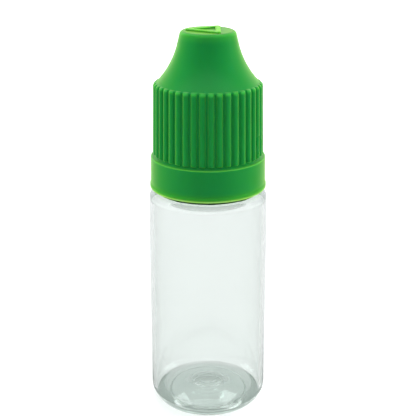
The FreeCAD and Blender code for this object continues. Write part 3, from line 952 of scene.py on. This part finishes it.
write.link(write.mix(dim, (0.62, 0.622, 0.62, 1), (0.8, 0.8, 0.8, 1)), shader["Base Color"])
corners = [(x * FLOOR_HALF, y * FLOOR_HALF, FLOOR_DROP) for x, y in ((-1, -1), (1, -1), (1, 1), (-1, 1))]
floor_sheet = stage_mesh("floor", corners, [(0, 1, 2, 3)], paper)
print("the floor is", 2 * FLOOR_HALF, "m wide")

# %% The world
LIT_BY, MIRRORED = 0.4, 0.4
world = bpy.data.worlds.new("white_room")
scene.world = world
world.use_nodes = True
write = Tree(world.node_tree)
backdrop = world.node_tree.nodes["Background"].inputs
backdrop["Color"].default_value = (1, 1, 1, 1)
strength = write.math("MULTIPLY_ADD", seen_directly(write, 1.0, MIRRORED), 1.0 - LIT_BY, LIT_BY)
write.link(strength, backdrop["Strength"])
print("as a light, the room has a strength of", LIT_BY)

# %% [markdown]
# ## The tent
#
# Glossy green plastic in a white room would be grey all over with reflections. A
# photographer hangs dark cloth about it. This round tent does the same, and only
# reflections see it: dark at the front and at the sides, so that the green keeps its
# depth, and pale behind. A ring of it lies on the floor, from the foot outwards, and above
# it is the white room.

# %% The tent
TENT_HOLE, TENT_R, TENT_FOOT, TENT_H, TENT_SIDES = 0.0112, 0.1, 0.0004, 0.16, 72
DARK_TO, PALE_FROM = 100.0, 158.0  # degrees round from the front, either way
tent_points, tent_faces = [], []
for k in range(TENT_SIDES):
    angle = math.tau * k / TENT_SIDES
    for r, z in ((TENT_HOLE, TENT_FOOT), (TENT_R, TENT_FOOT), (TENT_R, TENT_H)):
        tent_points.append((r * math.cos(angle), r * math.sin(angle), z))
    n = (k + 1) % TENT_SIDES
    for row in (0, 1):
        tent_faces.append((3 * k + row, 3 * n + row, 3 * n + row + 1, 3 * k + row + 1))

cloth, write, shader, where = finish("tent_cloth")
place = write.add("ShaderNodeSeparateXYZ", {0: where})
sideways = write.math("ABSOLUTE", place["X"])
round_front = write.math("ARCTAN2", sideways, write.math("MULTIPLY", place["Y"], -1.0))
behind = write.eased(write.math("MULTIPLY", round_front, 180 / math.pi), DARK_TO, PALE_FROM)
light = write.add("ShaderNodeEmission", {"Color": (0.96, 0.98, 1.0, 1), "Strength": behind})[0]
write.link(light, write.tree.nodes["Material Output"].inputs["Surface"])
tent = stage_mesh("tent", tent_points, tent_faces, cloth)
for ray in ("camera", "diffuse", "transmission", "volume_scatter", "shadow"):
    setattr(tent, "visible_" + ray, False)
print("the tent is", TENT_R * 2, "m across and", TENT_H, "m high")

# %% [markdown]
# ## Two windows
#
# The thick floor of a clear bottle shows bright patches, where it bends the light of
# something bright into view. Here two windows stand high behind the bottle. Only light
# that has passed through the clear plastic sees them, so they leave the green as it is.

# %% The windows
WINDOW_FAR, WINDOW_HALF, WINDOW_LOW, WINDOW_HIGH = 0.25, 7.0, 45, 60
WINDOW_ASIDE = (-30, 22)  # degrees round from straight behind
window_points = []
for aside in WINDOW_ASIDE:
    for azimuth, rise in ((-WINDOW_HALF, WINDOW_LOW), (WINDOW_HALF, WINDOW_LOW),
                          (WINDOW_HALF, WINDOW_HIGH), (-WINDOW_HALF, WINDOW_HIGH)):
        turned_by, tilt = math.radians(aside + azimuth), math.radians(rise)
        window_points.append((WINDOW_FAR * math.sin(turned_by) * math.cos(tilt),
                              WINDOW_FAR * math.cos(turned_by) * math.cos(tilt),
                              WINDOW_FAR * math.sin(tilt)))
daylight, write, shader, where = finish("window_light")
light = write.add("ShaderNodeEmission", {"Color": (1, 1, 1, 1), "Strength": 6.5})[0]
write.link(light, write.tree.nodes["Material Output"].inputs["Surface"])
windows = stage_mesh("windows", window_points, [(0, 1, 2, 3), (4, 5, 6, 7)], daylight)
for ray in ("camera", "diffuse", "glossy", "volume_scatter", "shadow"):
    setattr(windows, "visible_" + ray, False)
print(len(WINDOW_ASIDE), "windows stand behind the bottle")

# %% [markdown]
# ## Four soft lamps
#
# The lamps are large against the bottle, so their shadows are soft: one overhead, one at
# each side and a little behind, and a weak one in front. Reflections don't see them,
# because the tent and the room already say what the plastic mirrors.

# %% The lamps
AIM = Vector((0, 0, 0.045))


def lamp(name, place, width, height, power):
    """A soft area lamp that looks at the bottle's cap."""
    light = bpy.data.lights.new(name, "AREA")
    light.shape, light.size, light.size_y, light.energy = "RECTANGLE", width, height, power
    spot = bpy.data.objects.new(name, light)
    spot.visible_glossy = False
    spot.location = place
    spot.rotation_euler = (AIM - Vector(place)).to_track_quat("-Z", "Y").to_euler()
    scene.collection.objects.link(spot)
    print(name, "gives", power, "W")


lamp("top_lamp", (0.0, 0.1, 0.6), 0.5, 0.5, 1.9)
lamp("left_lamp", (-0.5, 0.12, 0.2), 0.3, 0.4, 1.7)
lamp("right_lamp", (0.5, 0.06, 0.2), 0.3, 0.4, 1.62)
lamp("front_lamp", (0.05, -0.4, 0.6), 0.3, 0.3, 0.4)

# %% [markdown]
# ## The camera
#
# The camera stands near the bottle and looks down on it. How round or flat each rim of the
# bottle looks from there gives the camera's height and distance, and the lens follows from
# how large the bottle is in the frame.

# %% The camera
LENS, SENSOR = 88.05, 36.0
CAMERA_BACK, CAMERA_Z, CAMERA_TILT = 0.1712, 0.0982, 70.5
camera = bpy.data.cameras.new("camera")
camera.lens, camera.sensor_width = LENS, SENSOR
camera.clip_start, camera.clip_end = 0.01, 20
viewer = bpy.data.objects.new("camera", camera)
viewer.location = (0, -CAMERA_BACK, CAMERA_Z)
viewer.rotation_euler = (math.radians(CAMERA_TILT), 0, 0)
scene.collection.objects.link(viewer)
scene.camera = viewer
scene.view_settings.view_transform = "Standard"
print("the camera looks down by", 90 - CAMERA_TILT, "degrees")

# %% [markdown]
# ## The end
#
# The skins have to stay inside the packed model's box.
